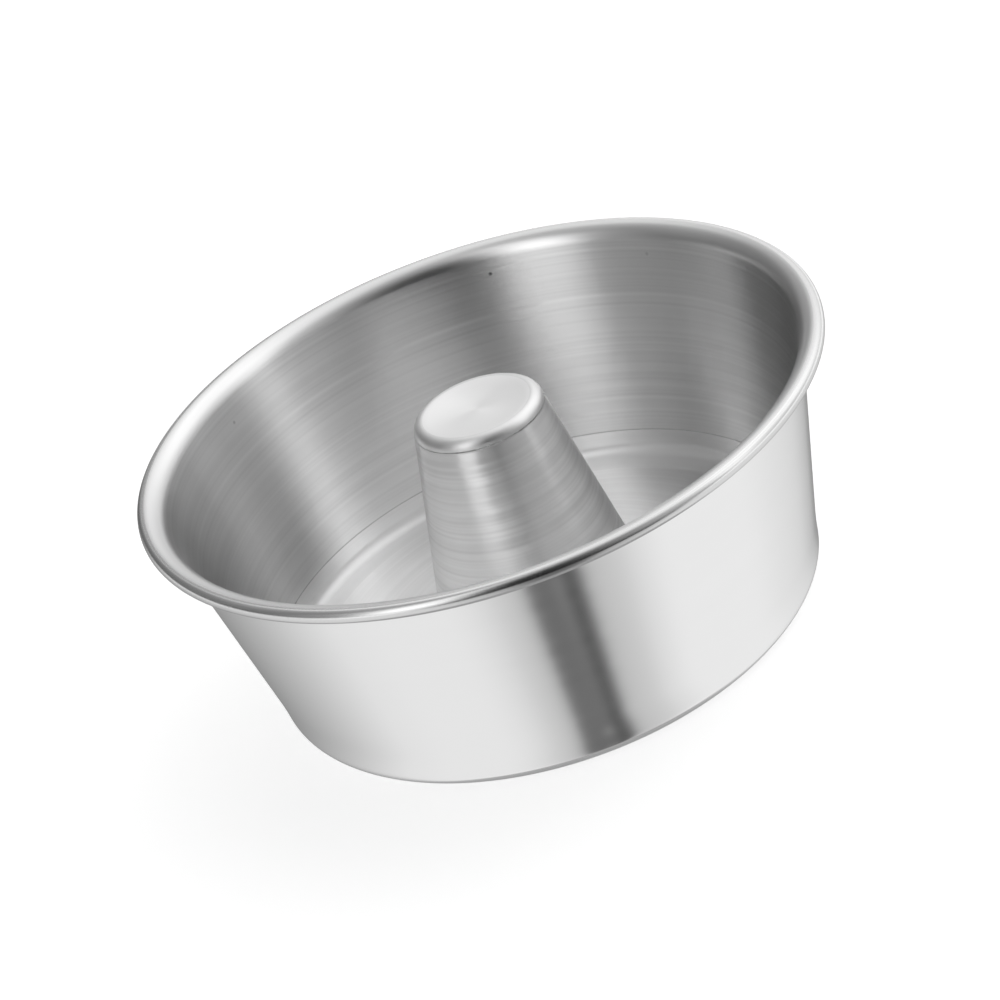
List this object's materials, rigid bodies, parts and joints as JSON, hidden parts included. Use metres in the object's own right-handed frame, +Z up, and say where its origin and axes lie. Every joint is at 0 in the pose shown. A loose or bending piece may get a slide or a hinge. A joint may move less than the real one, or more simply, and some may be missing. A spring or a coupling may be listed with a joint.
{
  "type": "ring cake pan",
  "caption": "Round tapered ring cake pan of sheet metal, with a rolled rim, a flat floor and a closed, hollow centre tube.",
  "frame": {"origin": "on the pan's axis, in the plane of the table that the base rests on", "axes": "+Z up along the pan's axis, towards the rim; X and Y are alike, because the pan is round"},
  "size_m": [0.2034, 0.2034, 0.075],
  "materials": {
    "pan_metal": "fine circular brush marks inside and on the tube, smooth polish on the rim and outside"
  },
  "bodies": {
    "root": {"pan": "pan_metal"}
  },
  "joints": []
}
